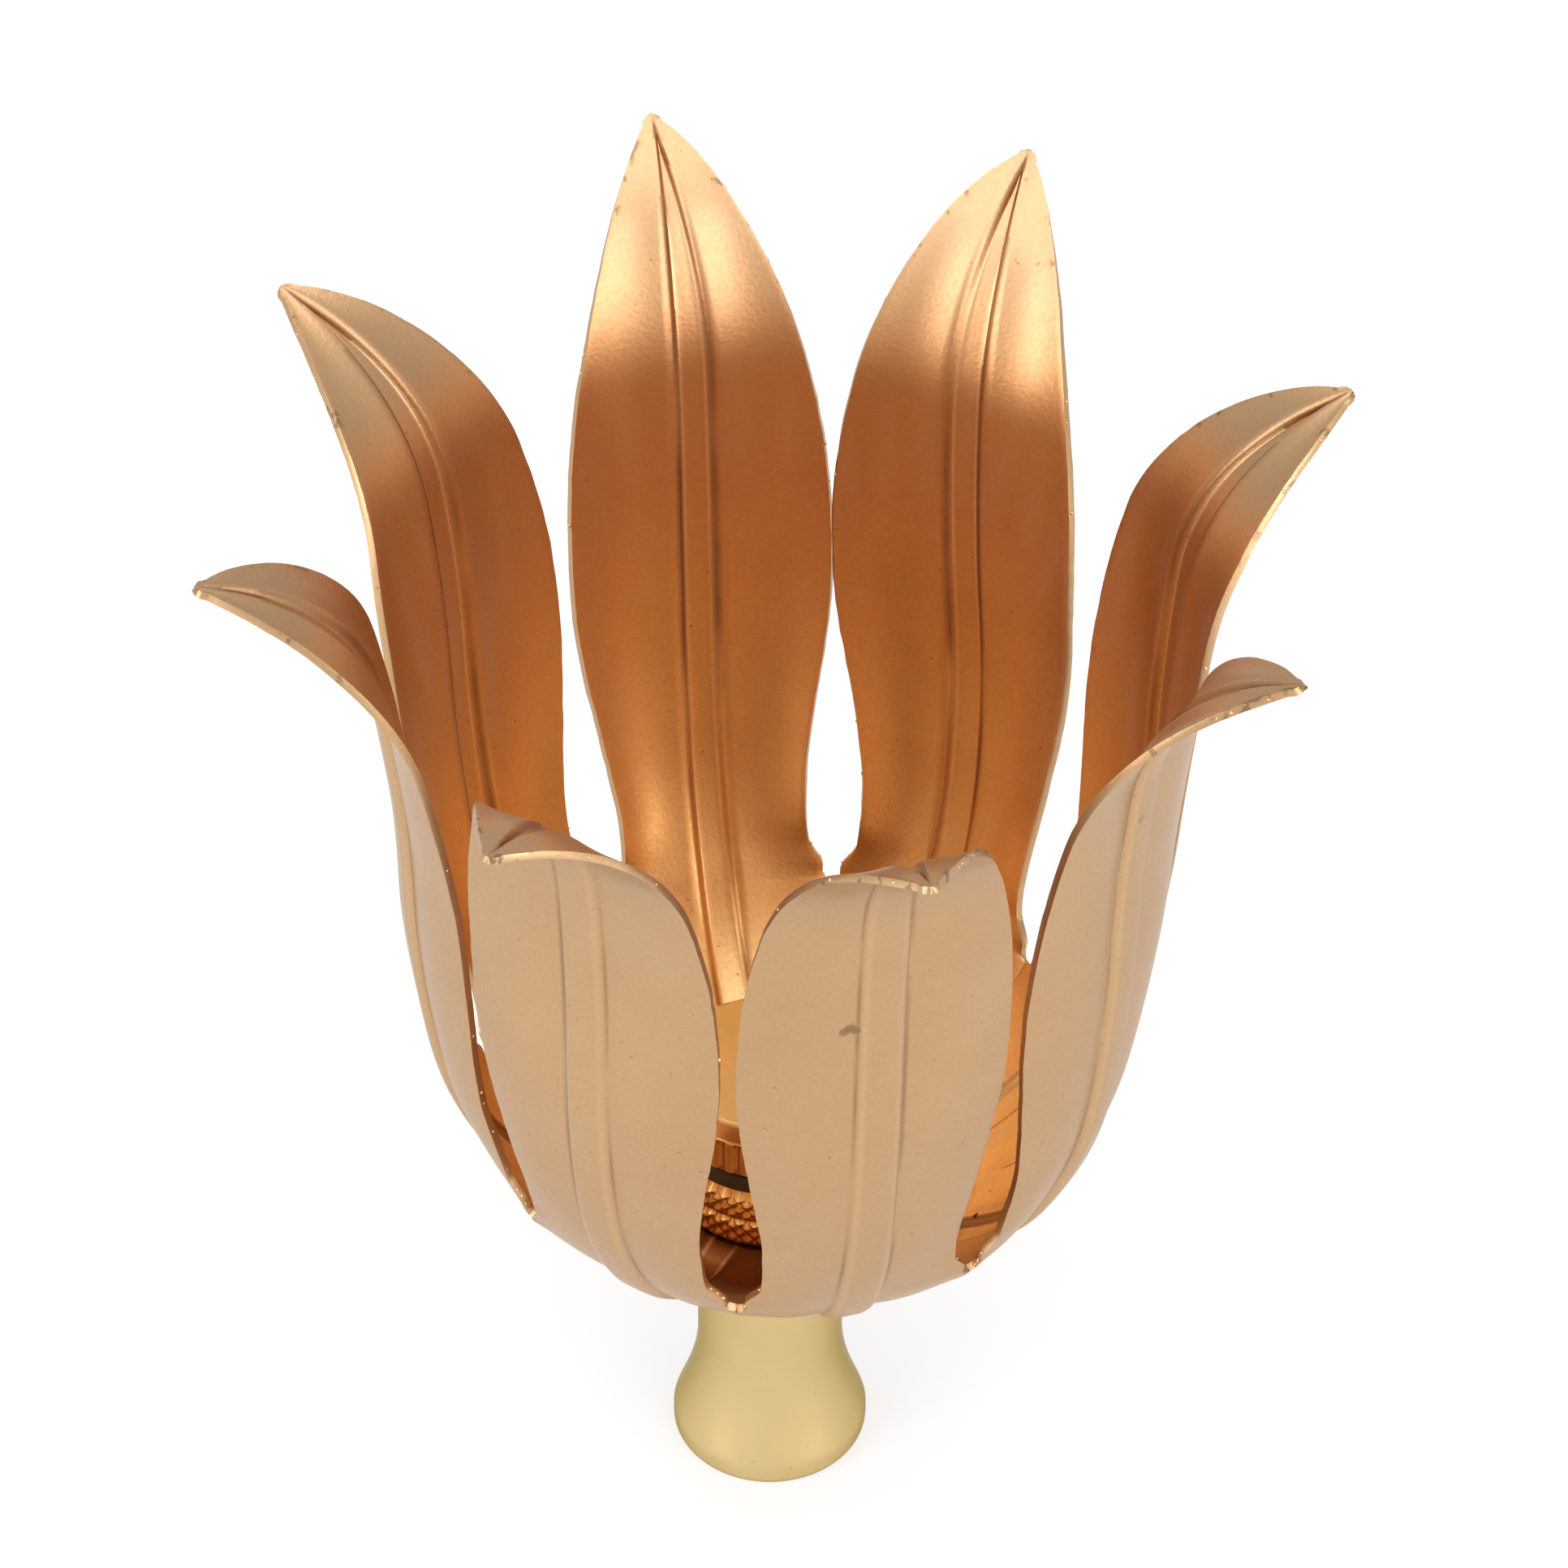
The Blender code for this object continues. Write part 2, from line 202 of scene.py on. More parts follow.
def neck_finish():
    """Pale satin brass, browner towards its outline as painted shade: faint turning lines, soft clouds, small
    specks.
    """
    brass = Finish("neck_brass", 0.28)
    brass.shader.inputs["Specular Tint"].default_value = NECK_TINT
    clouds = brass.between(brass.speckle(9 * MM), 0.3, 0.75)
    rings = brass.speckle(0.3 * MM, 2.0, brass.stretched((0.02, 0.02, 1.0)))
    specks = brass.between(brass.speckle(0.5 * MM, 1.0), 0.75, 0.79)
    colour = brass.blend(clouds, NECK_LIGHT, NECK_DARK)
    colour = brass.blend(rings * 0.12, colour, NECK_RINGS)
    # Painted shade: the colour turns browner towards the outline, where the surface turns away from view.
    facing = brass.node("ShaderNodeLayerWeight", {}, {"Blend": 0.5}, "Facing")
    colour = brass.blend(brass.between(facing, 0.3, 1.0) * 0.4, colour, NECK_OUTLINE_SHADE)
    brass.feed("Base Color", brass.blend(specks * 0.5, colour, NECK_SPECKS))
    brass.feed("Roughness", 0.22 + clouds * 0.04 + rings * 0.04)
    brass.bump(brass.speckle(1.5 * MM, 1.0), 0.004 * MM)
    return brass.material


def neck():
    """Profile from the bore's roof, round the foot and up to the spigot's top."""
    profile = [(0.0, BORE_DEPTH), (BORE_RADIUS, BORE_DEPTH), (BORE_RADIUS, NECK_CHAMFER)]
    profile.append((BORE_RADIUS + NECK_CHAMFER, 0.0))
    profile += arc((FOOT_RADIUS - FOOT_LIP, FOOT_LIP), FOOT_LIP, -90.0, 0.0, LIP_STEPS)
    for step in range(FLARE_STEPS + 1):
        share = step / FLARE_STEPS
        radius = FOOT_RADIUS + (WAIST_RADIUS - FOOT_RADIUS) * ease(share**FLARE_SPREAD)
        profile.append((radius, FOOT_BAND + FLARE_RUN * share))
    flare_top = FOOT_BAND + FLARE_RUN
    for step in range(1, WAIST_STEPS + 1):
        share = step / WAIST_STEPS
        radius = WAIST_RADIUS + (SHOULDER_RADIUS - WAIST_RADIUS) * ease(2 * share - 1)
        profile.append((radius, flare_top + (NECK_HEIGHT - NECK_CHAMFER - flare_top) * share))
    profile.append((SHOULDER_RADIUS - NECK_CHAMFER, NECK_HEIGHT))
    profile.append((SPIGOT_RADIUS, NECK_HEIGHT))
    profile.append((SPIGOT_RADIUS, SPIGOT_TOP - NECK_CHAMFER))
    profile.append((SPIGOT_RADIUS - NECK_CHAMFER, SPIGOT_TOP))
    profile.append((0.0, SPIGOT_TOP))
    return make_piece("turned_neck", turned(profile, NECK_TURN_STEPS), neck_finish(), ["neck"])


neck()


# Leaf cup: one stamping of thin brass sheet, a flat floor and a bowl that rise into eight leaves,
# each pressed with a rib and bent out by hand, then sprayed with a rose-gold satin lacquer.
SHEET = 0.6 * MM
CUP_LIFT = 0.3 * MM
SHEET_MIDDLE = NECK_HEIGHT + CUP_LIFT + SHEET / 2
CUP_SHIFT = (1.155 * MM, 0.573 * MM)
HOLE_RADIUS = 5.05 * MM
FLOOR_RADIUS = 10.0 * MM

# Up the sheet from the floor's rim: run in millimetres and the slope in degrees that it ends at
BENDS = ((6.0, 33.9), (12.1, 61.0), (13.4, 79.8), (18.1, 85.9), (18.6, 78.5), (22.5, 12.5))

# Outline of a leaf, from the slot beside its foot to its tip
SLOT_HALF = 0.75 * MM
SLOT_DEPTH = 1.4 * MM
SLOT_OPENING = 1.3
WAIST_HALF = 7.9 * MM
WAIST_RUN = 3.7 * MM
BELLY_HALF = 10.9 * MM
BELLY_RUN = 31.3 * MM
TAPER_POWER = 2.3
TAPER_FULLNESS = 0.84
TIP_ROUND = 0.8 * MM
TIP_EDGE = 0.15 * MM

# The pressed rib, and the flare of the sheet beside the foot of a slot
RIB_FOOT = 1.75 * MM
RIB_CREST_SHARE = 0.65
RIB_RISE = 0.6 * MM
RIB_START = 2.2 * MM
RIB_FADE = 4.0 * MM
RIB_TAPER = 24.0 * MM
RIB_END_SHARE = 0.03
SLOT_FLARE = 0.8 * MM
FLARE_BELOW = 8.0 * MM
FLARE_ABOVE = 10.0 * MM
FLARE_POWER = 4

# How far a leaf's edges bow inward low down and at the tip, and how its bend and drift build up
LOWER_BOW = 1.45 * MM
LOWER_BOW_RUN = 5.0 * MM
TIP_BOW = -1.57 * MM
FIRST_LEAF = 13.7
LEAN_SHARE = 0.5
DRIFT_POWER = 1.5

# For each leaf: lean, extra curl, drift and twist in degrees, and extra bow of its edges in millimetres
LEAF_BENDS = (
    (2.8, 6.1, -1.7, 6.4, -0.1),
    (7.5, -9.1, 5.8, 9.8, 0.6),
    (4.1, 3.3, 0.8, -5.7, -0.2),
    (2.7, 3.5, 2.6, -6.5, -0.3),
    (2.7, -0.7, 1.8, -0.3, -0.35),
    (3.5, -4.0, 3.3, -1.8, -1.0),
    (0.5, 6.0, -0.5, 1.6, 0.05),
    (2.6, 4.3, -0.6, -2.2, -0.3),
)
LEAVES = len(LEAF_BENDS)

# Small unevenness: ragged cuts and waves of the edges, waves of the sheet with their number in a metre
# along and across, and the dish of each leaf half as a share of its width
EDGE_RAGGED = 0.06 * MM
RAGS_PER_METRE = 1400
EDGE_WAVES = 0.06 * MM
EDGE_WAVES_PER_METRE = 320
WAVINESS = 0.10 * MM
WAVES_ALONG_PER_METRE = 90
WAVES_ACROSS_PER_METRE = 160
DISH_SHARE = 0.04

# Mesh of a leaf: faces across and along, shares of a half's columns that end at the rib's crest and just
# past its foot, and the rounding of the cut edges
COLUMNS = 34
ROWS = 118
CREST_COLUMNS = 0.14
FOOT_COLUMNS = 0.30
PAST_FOOT = 1.05
SEAM_MERGE = 0.01 * MM
EDGE_ROUND = 0.2 * MM
EDGE_STEPS = 3
EDGE_ANGLE = 50

# Lacquer: its colours, and the heights between which they change inside the cup, where they are painted
# reflection, painted light and painted shade
OUTER_LIGHT = (0.555, 0.350, 0.184)
OUTER_DARK = (0.530, 0.328, 0.168)
# The inside's own colours are a lighter copy of the outside's, as painted light.
INNER_LIGHT = (0.64, 0.400, 0.215)
INNER_DARK = (0.61, 0.365, 0.185)
# Painted reflection, painted light and painted shade inside the cup, and the heights where each takes over
INNER_REFLECTION_RED = (0.65, 0.300, 0.105)
INNER_LIT_GOLD = (0.83, 0.485, 0.190)
INNER_LIGHT_POOL = (1.00, 0.680, 0.310)
INNER_FLOOR_SHADE = (0.36, 0.140, 0.035)
REFLECTION_RED_FROM = 100.0 * MM
REFLECTION_RED_FULL = 88.0 * MM
LIT_GOLD_FROM = 78.0 * MM
LIT_GOLD_FULL = 54.0 * MM
LIGHT_POOL_FROM = 38.0 * MM
LIGHT_POOL_FULL = 34.0 * MM
FLOOR_SHADE_FROM = 30.6 * MM
FLOOR_SHADE_FULL = 29.2 * MM
# Painted shade in the ribs' creases, inside and outside, and the dark tone of the grain
INNER_SHADE_AND_GRAIN_BROWN = (0.22, 0.085, 0.025)
OUTER_SHADE_AND_GRAIN_BROWN = (0.28, 0.135, 0.055)
SPECK_BROWN = (0.35, 0.14, 0.05)
CHIP_BROWN = (0.20, 0.12, 0.06)
CHIPS_FROM = 93 * MM
CHIPS_FULL = 99 * MM
# Painted highlight in a line beside the rib's crease
RIB_HIGHLIGHT = (1.0, 0.70, 0.38)
LACQUER_TINT = (0.80, 0.78, 0.76, 1.0)

# Blemishes of the lacquer: place and radius in millimetres, strength and colour
BLEMISH_BROWN = (0.24, 0.12, 0.06)
BLEMISH_RED = (0.10, 0.008, 0.003)
OUTER_BLEMISHES = (
    ((5.57, -30.57, 76.31), 0.55, 0.75, BLEMISH_BROWN),
    ((6.00, -30.49, 76.66), 0.55, 0.75, BLEMISH_BROWN),
    ((6.43, -30.32, 76.22), 0.50, 0.75, BLEMISH_BROWN),
    ((27.98, -16.77, 85.41), 0.55, 0.40, BLEMISH_BROWN),
)
INNER_BLEMISHES = (
    ((16.60, -6.70, 31.31), 0.35, 1.0, BLEMISH_RED),
)
BLEMISH_CORE = 0.6


def read_off(x, points):
    """Value at x on the broken line through points, held at both ends."""
    for (x0, y0), (x1, y1) in zip(points, points[1:]):
        if x <= x1:
            return y0 + (y1 - y0) * max(x - x0, 0.0) / (x1 - x0)
    return points[-1][1]


def bend_stations():
    """Distance along the sheet from the axis, and the slope there, where the bend changes."""
    stations = [(0.0, 0.0), (FLOOR_RADIUS, 0.0)]
    for run, slope in BENDS:
        stations.append((stations[-1][0] + run * MM, slope))
    return stations


STATIONS = bend_stations()
NOTCH = STATIONS[3][0]
WALL_END = STATIONS[5][0]
LEAF_END = STATIONS[-1][0]
LINE_STEPS = 600

# Shares of a leaf's rows, and the distance along the sheet that each share ends at
ROW_STOPS = (
    (0.0, HOLE_RADIUS),
    (0.06, FLOOR_RADIUS),
    (0.20, NOTCH - 0.3 * MM),
    (0.32, NOTCH + SLOT_DEPTH),
    (0.40, NOTCH + WAIST_RUN),
    (0.82, LEAF_END - 14 * MM),
    (0.96, LEAF_END - 1.2 * MM),
    (1.0, LEAF_END),
)


def centre_line(lean, curl):
    """Centre line of a leaf, from the axis to its tip: (radius, height, slope in radians)."""
    step = LEAF_END / LINE_STEPS
    radius, height = 0.0, 0.0
    line = []
    for index in range(LINE_STEPS + 1):
        along = index * step
        slope = read_off(along, STATIONS)
        slope += lean * ease((along - NOTCH) / (LEAF_END - NOTCH) / LEAN_SHARE)
        slope += curl * max(along - WALL_END, 0.0) / (LEAF_END - WALL_END)
        line.append((radius, height, math.radians(slope)))
        radius += step * math.cos(math.radians(slope))
        height += step * math.sin(math.radians(slope))
    return line


def at_distance(line, along):
    """Radius, height and slope on a centre line at a distance along it."""
    place = min(along / LEAF_END, 1.0) * LINE_STEPS
    index = min(int(place), LINE_STEPS - 1)
    return [a + (b - a) * (place - index) for a, b in zip(line[index], line[index + 1])]


def half_width(along, radius):
    """Half the width of a leaf at a distance along it, or of its share of the bowl."""
    sector = math.pi * radius / LEAVES
    up = along - NOTCH
    if up <= 0:
        return sector
    if up <= WAIST_RUN:
        slot = SLOT_HALF
        if up < SLOT_HALF:
            slot = math.sqrt(SLOT_HALF**2 - (SLOT_HALF - up) ** 2)
        share = max(up - SLOT_DEPTH, 0.0) / (WAIST_RUN - SLOT_DEPTH)
        opening = math.sin(math.pi / 2 * share) ** SLOT_OPENING
        return sector - slot - (sector - WAIST_HALF - SLOT_HALF) * opening
    if up <= BELLY_RUN:
        return WAIST_HALF + (BELLY_HALF - WAIST_HALF) * ease((up - WAIST_RUN) / (BELLY_RUN - WAIST_RUN))
    share = (up - BELLY_RUN) / (LEAF_END - NOTCH - BELLY_RUN)
    taper = max(BELLY_HALF * max(1 - share**TAPER_POWER, 0.0) ** TAPER_FULLNESS, TIP_ROUND)
    left = LEAF_END - along
    if left < TIP_ROUND:
        taper = max(math.sqrt(TIP_ROUND**2 - (TIP_ROUND - left) ** 2), TIP_EDGE)
    return taper


def rib_foot(along, half):
    """How far the pressed rib's foot lies from a leaf's centre line. It narrows towards the tip."""
    share = min((LEAF_END - along) / RIB_TAPER + RIB_END_SHARE, 1.0)
    return min(RIB_FOOT * math.sin(math.pi / 2 * share), half / 2)


def rib_lift(along, across, foot):
    """How far the pressed rib stands out of a leaf."""
    crest = foot * RIB_CREST_SHARE
    rise = RIB_RISE * ease((along - FLOOR_RADIUS) / RIB_START) * ease((LEAF_END - along) / RIB_FADE)
    return rise * (1 - ease((abs(across) - crest) / (foot - crest)))


def slot_flare(along, across, half):
    """How far the sheet flares outward beside the foot of a slot."""
    stops = ((NOTCH - FLARE_BELOW, 0.0), (NOTCH, 1.0), (NOTCH + FLARE_ABOVE, 0.0))
    return SLOT_FLARE * ease(read_off(along, stops)) * abs(across / half) ** FLARE_POWER


def leaf_point(leaf, line, along, side):
    """Point of a leaf's middle surface, its place across the rib, and its distance from the rim.

    Side runs from -1 to 1 across the leaf.
    """
    lean, curl, drift, twist, bow = LEAF_BENDS[leaf]
    radius, height, slope = at_distance(line, along)
    half = half_width(along, radius)
    if along > NOTCH:
        half += EDGE_RAGGED * noise.noise(Vector((along * RAGS_PER_METRE, leaf * 7.3, side * 3)))
        half += EDGE_WAVES * noise.noise(Vector((along * EDGE_WAVES_PER_METRE, leaf * 3.7, side * 5)))
    foot = rib_foot(along, half)
    stops = ((0.0, 0.0), (CREST_COLUMNS, foot * RIB_CREST_SHARE), (FOOT_COLUMNS, foot * PAST_FOOT),
             (1.0, half))
    across = math.copysign(read_off(abs(side), stops), side)
    pressed = ease((along - FLOOR_RADIUS) / RIB_FADE)
    lift = rib_lift(along, across, foot) + slot_flare(along, across, half)
    wave = Vector((along * WAVES_ALONG_PER_METRE, across * WAVES_ACROSS_PER_METRE, leaf * 5.1))
    lift += WAVINESS * pressed * noise.noise(wave)
    over_dish = min(max(abs(across) - foot, 0.0) / (half - foot), 1.0)
    lift += DISH_SHARE * (half - foot) * pressed * math.sin(math.pi * over_dish)
    up_leaf = max(along - NOTCH, 0.0) / (LEAF_END - NOTCH)
    lower = (NOTCH + LOWER_BOW_RUN, LOWER_BOW + bow * MM)
    edge_bow = read_off(along, ((NOTCH, 0.0), lower, (LEAF_END, TIP_BOW + bow * MM)))
    inward = edge_bow * (across / BELLY_HALF) ** 2 - lift
    inward += math.tan(math.radians(twist)) * across * up_leaf
    turn = FIRST_LEAF + 360.0 * leaf / LEAVES + drift * up_leaf**DRIFT_POWER
    angle = math.radians(turn) + across / radius
    reach = radius - math.sin(slope) * inward
    shift = ease((along - HOLE_RADIUS) / (FLOOR_RADIUS - HOLE_RADIUS))
    x = CUP_SHIFT[0] * shift + reach * math.cos(angle)
    y = CUP_SHIFT[1] * shift + reach * math.sin(angle)
    rim = half - abs(across) if along > NOTCH + SLOT_DEPTH else half
    return Vector((x, y, SHEET_MIDDLE + height + math.cos(slope) * inward)), abs(across) / foot, rim


def cup_finish(name, light, dark):
    """Satin lacquer with soft clouds of tone between light and dark: the finish and its colour."""
    gold = Finish(name, 0.34)
    gold.shader.inputs["Specular Tint"].default_value = LACQUER_TINT
    gold.shader.inputs["Coat Weight"].default_value = 0.25
    gold.shader.inputs["Coat Roughness"].default_value = 0.2
    clouds = gold.between(gold.speckle(9 * MM), 0.3, 0.75)
    return gold, clouds, gold.blend(clouds, light, dark)


def lacquered(gold, clouds, colour, crease_place, shade_and_grain_colour, crease_shade_share, rib_highlight_share, relief):
    """A brown line of painted shade in the rib's crease and a bright line of painted highlight beside it,
    grain, specks and chips.

    The brown line's place is a share of the way from a leaf's centre line to its rib's foot.
    """
    grain = gold.speckle(0.35 * MM, 4.0)
    rib_place = gold.node("ShaderNodeAttribute", {"attribute_name": "rib_place"}, {}, "Fac")
    # Painted shade: a brown line darkens the crease at the rib's foot, broken up by soft clouds.
    line = gold.between((rib_place - crease_place).math("ABSOLUTE"), 0.2, 0.0)
    line = line * gold.between(gold.speckle(11 * MM, 1.0), 0.30, 0.62)
    # Painted highlight: a lighter line beside the rib's crease, where its flank would catch light.
    rib_highlight = gold.between((rib_place - crease_place + 0.32).math("ABSOLUTE"), 0.16, 0.0)
    colour = gold.blend(rib_highlight * rib_highlight_share, colour, RIB_HIGHLIGHT)
    colour = gold.blend(line * crease_shade_share, colour, shade_and_grain_colour)
    colour = gold.blend(gold.between(grain, 0.25, 0.75) * 0.13, colour, shade_and_grain_colour)
    specks = gold.between(gold.speckle(0.6 * MM, 1.0), 0.76, 0.79)
    colour = gold.blend(specks * 0.6, colour, SPECK_BROWN)
    rim = gold.node("ShaderNodeAttribute", {"attribute_name": "rim"}, {}, "Fac")
    height = gold.node("ShaderNodeSeparateXYZ", {}, {"Vector": gold.place}, "Z")
    chips = gold.between(rim, 0.7 * MM, 0.2 * MM) * gold.between(height, CHIPS_FROM, CHIPS_FULL)
    chips = chips * gold.between(gold.speckle(1.5 * MM), 0.60, 0.64)
    gold.feed("Base Color", gold.blend(chips * 0.7, colour, CHIP_BROWN))
    gold.feed("Roughness", 0.33 + clouds * 0.04 + grain * 0.12)
    gold.bump(grain, relief)
    return gold.material


def blemished(gold, colour, blemishes):
    """A colour with small round blemishes of another, each at its place."""
    for place, radius, share, tone in blemishes:
        centre = [length * MM for length in place]
        away = gold.node("ShaderNodeVectorMath", {"operation": "DISTANCE"}, {0: gold.place, 1: centre},
                         "Value")
        spot = gold.between(away, radius * MM, radius * BLEMISH_CORE * MM)
        colour = gold.blend(spot * share, colour, tone)
    return colour


def inside_finish():
    """Inside, the lacquer is redder down the leaves as painted reflection, golden in the bowl as painted
    light and dark on the floor as painted shade.
    """
    gold, clouds, colour = cup_finish("lacquer_inside", INNER_LIGHT, INNER_DARK)
    height = gold.node("ShaderNodeSeparateXYZ", {}, {"Vector": gold.place}, "Z")
    # Painted reflection, painted light and painted shade: the colour changes with height inside the cup.
    colour = gold.blend(gold.between(height, REFLECTION_RED_FROM, REFLECTION_RED_FULL), colour, INNER_REFLECTION_RED)
    colour = gold.blend(gold.between(height, LIT_GOLD_FROM, LIT_GOLD_FULL), colour, INNER_LIT_GOLD)
    colour = gold.blend(gold.between(height, LIGHT_POOL_FROM, LIGHT_POOL_FULL), colour, INNER_LIGHT_POOL)
    colour = gold.blend(gold.between(height, FLOOR_SHADE_FROM, FLOOR_SHADE_FULL), colour, INNER_FLOOR_SHADE)
    colour = blemished(gold, colour, INNER_BLEMISHES)
    return lacquered(gold, clouds, colour, crease_place=0.92, shade_and_grain_colour=INNER_SHADE_AND_GRAIN_BROWN, crease_shade_share=0.70,
                     rib_highlight_share=0.45, relief=0.022 * MM)


def outside_finish():
    """Outside, the lacquer is paler, without the inside's painted reflection, light and shade, and even but
    for a few brown marks.
    """
    gold, clouds, colour = cup_finish("lacquer_outside", OUTER_LIGHT, OUTER_DARK)
    colour = blemished(gold, colour, OUTER_BLEMISHES)
    return lacquered(gold, clouds, colour, crease_place=1.04, shade_and_grain_colour=OUTER_SHADE_AND_GRAIN_BROWN,
                     crease_shade_share=0.75, rib_highlight_share=0.12, relief=0.016 * MM)


LEAF_LINES = [centre_line(*bends[:2]) for bends in LEAF_BENDS]


def leaf_cup():
    """Eight grids, each shaped into a leaf and its share of the bowl, merged where their points meet,
    and given thickness.
    """
    bm = bmesh.new()
    rib_place = bm.verts.layers.float.new("rib_place")
    rim = bm.verts.layers.float.new("rim")
    for leaf, line in enumerate(LEAF_LINES):
        grid = bmesh.ops.create_grid(bm, x_segments=COLUMNS, y_segments=ROWS, size=1.0)
        for vert in grid["verts"]:
            along = read_off((vert.co.y + 1) / 2, ROW_STOPS)
            vert.co, vert[rib_place], vert[rim] = leaf_point(leaf, line, along, vert.co.x)
    bmesh.ops.remove_doubles(bm, verts=bm.verts, dist=SEAM_MERGE)
    bmesh.ops.recalc_face_normals(bm, faces=bm.faces)
    floor_face = min(bm.faces, key=lambda face: face.calc_center_median().z)
    if floor_face.normal.z < 0:
        bmesh.ops.reverse_faces(bm, faces=bm.faces)
    piece = make_piece("leaf_cup_sheet", bm, inside_finish(), ["leaf_cup"], 180.0)
    piece.data.materials.append(outside_finish())
    wall = piece.modifiers.new("sheet", "SOLIDIFY")
    wall.thickness = SHEET
    wall.offset = 0.0
    wall.material_offset = 1
    wall.material_offset_rim = 1
    edge = piece.modifiers.new("edge", "BEVEL")
    edge.width = EDGE_ROUND
    edge.segments = EDGE_STEPS
    edge.limit_method = "ANGLE"
    edge.angle_limit = math.radians(EDGE_ANGLE)
    return piece


leaf_cup()


# Lacquer beads: small drops of lacquer and burrs that dried on the cut edges of the leaves, most of
# them round the feet of the slots, where the spray ran together.
EDGE_BEADS = 90
SLOT_BEADS = 5
BEAD_SMALL = 0.07 * MM
BEAD_LARGE = 0.17 * MM
BEAD_SEED = 11
SLOT_REACH = (0.1, 3.2)
BEAD_LIGHT = (0.80, 0.58, 0.34)
BEAD_DARK = (0.62, 0.38, 0.17)


def add_bead(bm, leaf, along, side, chance):
    """One drop on a leaf's edge, flattened and turned by chance."""
    place = leaf_point(leaf, LEAF_LINES[leaf], along, side)[0]
    size = BEAD_SMALL + (BEAD_LARGE - BEAD_SMALL) * chance.random() ** 2
    shape = Matrix.Diagonal([size * chance.uniform(0.8, 1.5) for axis in range(3)]).to_4x4()
    turn = Matrix.Rotation(chance.uniform(0.0, math.pi), 4, "Y")
    bmesh.ops.create_uvsphere(bm, u_segments=8, v_segments=6, radius=1.0,
                              matrix=Matrix.Translation(place) @ turn @ shape)


def lacquer_beads():
    """Drops scattered along the leaves' edges, and a group at the foot of each slot."""
    bm = bmesh.new()
    chance = random.Random(BEAD_SEED)
    for bead in range(EDGE_BEADS):
        along = chance.uniform(NOTCH + WAIST_RUN, LEAF_END - TIP_ROUND)
        add_bead(bm, chance.randrange(LEAVES), along, chance.choice((-1, 1)), chance)
    for leaf in range(LEAVES):
        for side in (-1, 1):
            for bead in range(SLOT_BEADS):
                add_bead(bm, leaf, NOTCH + chance.uniform(*SLOT_REACH) * MM, side, chance)
    drops = Finish("lacquer_drops", 0.16)
    shade = drops.between(drops.speckle(0.5 * MM), 0.4, 0.6)
    drops.feed("Base Color", drops.blend(shade, BEAD_LIGHT, BEAD_DARK))
    drops.bump(drops.speckle(0.1 * MM), 0.004 * MM)
    return make_piece("lacquer_beads", bm, drops.material, (), 180.0)


lacquer_beads()


# Knurled collar: a round brass nut on the spigot that clamps the cup's floor to the neck. It is turned
# from bar, with two diamond-knurled bands and a groove between them.
COLLAR_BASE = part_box("knurled_collar")[0][2]
COLLAR_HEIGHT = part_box("knurled_collar")[1][2] - COLLAR_BASE
COLLAR_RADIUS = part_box("knurled_collar")[1][0]
NUT_BORE = 5.05 * MM
KNURL_DEPTH = 0.4 * MM
KNURL_TEETH = 40
KNURL_SHARPNESS = 1.6
BAND_STEPS = 12
BAND_FOOT = 0.4 * MM
GROOVE_HALF = 0.5 * MM
BAND_TOP = 0.8 * MM
BAND_END = 0.3 * MM
STEPS_PER_TOOTH = 8
TURNED_FACE = 0.01 * MM
CREST_HIGHLIGHT_REACH = 0.5 * MM
# Collar brass, darkened as painted shade low in the cup
SHADED_COLLAR_LIGHT = (0.37, 0.19, 0.07)
SHADED_COLLAR_DARK = (0.26, 0.12, 0.040)
# Painted shade and painted reflection of the red cup on the walls of the collar and cap nut
NUT_PAINTED_SHADE = (0.30, 0.115, 0.035)
# Painted highlight on the rims of the knurled bands and on the cap nut's shoulder
NUT_CREST_HIGHLIGHT = (0.86, 0.62, 0.34)


def nut_finish(name, light, dark, roughness, shade_from, shade_full):
    """Brass with darker clouds, red-brown down its wall from painted shade and painted reflection of the cup,
    with a painted highlight on its crests.
    """
    brass = Finish(name, roughness)
    clouds = brass.between(brass.speckle(2.5 * MM), 0.35, 0.7)
    height = brass.node("ShaderNodeSeparateXYZ", {}, {"Vector": brass.place}, "Z")
    # Painted shade and painted reflection of the cup: red-brown from the given height downward.
    shaded = brass.between(height, shade_from, shade_full)
    colour = brass.blend(shaded, brass.blend(clouds, light, dark), NUT_PAINTED_SHADE)
    # Painted highlight: the crest attribute lightens the band rims and the shoulder.
    crest = brass.node("ShaderNodeAttribute", {"attribute_name": "crest"}, {}, "Fac")
    brass.feed("Base Color", brass.blend(crest * 0.9, colour, NUT_CREST_HIGHLIGHT))
    brass.feed("Roughness", roughness + clouds * 0.1)
    brass.bump(brass.speckle(0.2 * MM), 0.006 * MM)
    return brass.material


